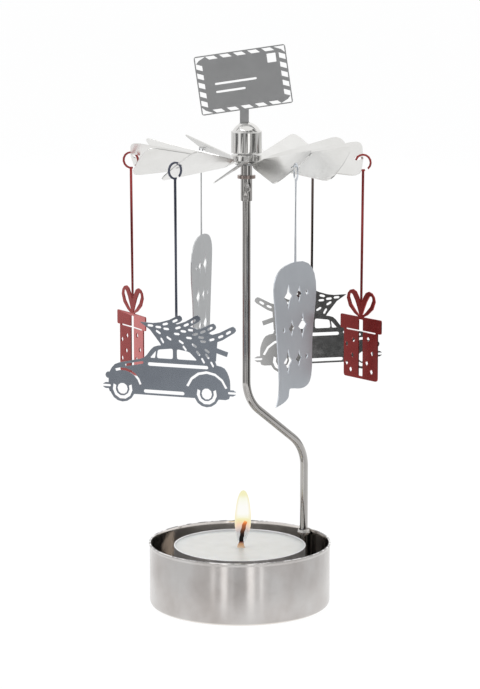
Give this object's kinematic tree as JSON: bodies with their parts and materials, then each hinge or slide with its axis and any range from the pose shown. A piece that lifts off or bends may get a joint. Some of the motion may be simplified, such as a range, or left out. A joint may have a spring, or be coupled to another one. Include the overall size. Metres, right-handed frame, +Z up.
{
  "type": "candle carousel",
  "caption": "Round steel cup for a tealight with a bent wire mast, on whose needle a wheel of twisted blades hung with cut-out sheet figures turns in the warm air.",
  "frame": {"origin": "centre of the cup's flat base, on the table", "axes": "+Z up the mast, +Y from the front of the picture to the back, +X to its right"},
  "size_m": [0.0814, 0.0829, 0.1627],
  "materials": {
    "cup_steel": "satin outside, bright inside",
    "wire_steel": "drawn and polished",
    "coppered_steel": "satin with a copper tint",
    "needle_steel": "ground",
    "wheel_steel": "bright rolled sheet",
    "hub_steel": "polished",
    "sign_steel": "matt rolled sheet",
    "figure_steel": "matt front, bright back",
    "pale_steel": "matt rolled sheet",
    "red_sheet": "metallic red lacquer",
    "tinfoil": "pressed foil",
    "wax": "smooth",
    "cotton": "waxed and charred braid"
  },
  "bodies": {
    "stand": {"cup": "cup_steel", "mast": "wire_steel", "mast_weld": "wire_steel", "sleeve": "wire_steel", "snap_ring": "coppered_steel", "needle": "needle_steel"},
    "rotor": {"wheel": "wheel_steel", "hub_bush": "hub_steel", "hub_cap": "hub_steel", "hub_eyelet": "hub_steel", "bearing_cup": "needle_steel", "sign": "sign_steel"},
    "car_rear": {"car_rear": "figure_steel"},
    "bubble_rear": {"bubble_rear": "pale_steel"},
    "gift_left": {"gift_left": "red_sheet"},
    "car_front": {"car_front": "figure_steel"},
    "bubble_front": {"bubble_front": "pale_steel"},
    "gift_right": {"gift_right": "red_sheet"},
    "candle": {"tealight_can": "tinfoil", "wax": "wax", "wick": "cotton", "wick_clip": "tinfoil"}
  },
  "joints": [
    {"name": "rotor_spin", "type": "hinge", "parent": "stand", "child": "rotor", "pos_m": [0.00192, 0.00153, 0.1363], "axis": [0, 0, 1], "continuous": true},
    {"name": "car_rear_swing", "type": "hinge", "parent": "rotor", "child": "car_rear", "pos_m": [0.02144, 0.02824, 0.13072], "axis": [0.8074, -0.59, 0], "range_deg": [-10, 25]},
    {"name": "bubble_rear_swing", "type": "hinge", "parent": "rotor", "child": "bubble_rear", "pos_m": [-0.01146, 0.03179, 0.13072], "axis": [0.9147, 0.4042, 0], "range_deg": [-10, 25]},
    {"name": "gift_left_swing", "type": "hinge", "parent": "rotor", "child": "gift_left", "pos_m": [-0.03098, 0.00508, 0.13072], "axis": [0.1073, 0.9942, 0], "range_deg": [-10, 25]},
    {"name": "car_front_swing", "type": "hinge", "parent": "rotor", "child": "car_front", "pos_m": [-0.01761, -0.02519, 0.13072], "axis": [-0.8074, 0.59, 0], "range_deg": [-10, 25]},
    {"name": "bubble_front_swing", "type": "hinge", "parent": "rotor", "child": "bubble_front", "pos_m": [0.01529, -0.02874, 0.13072], "axis": [-0.9147, -0.4042, 0], "range_deg": [-10, 25]},
    {"name": "gift_right_swing", "type": "hinge", "parent": "rotor", "child": "gift_right", "pos_m": [0.03482, -0.00203, 0.13072], "axis": [-0.1073, -0.9942, 0], "range_deg": [-10, 25]},
    {"name": "candle_lift", "type": "slide", "parent": "stand", "child": "candle", "axis": [0, 0, 1], "range_m": [0, 0.0195]}
  ]
}
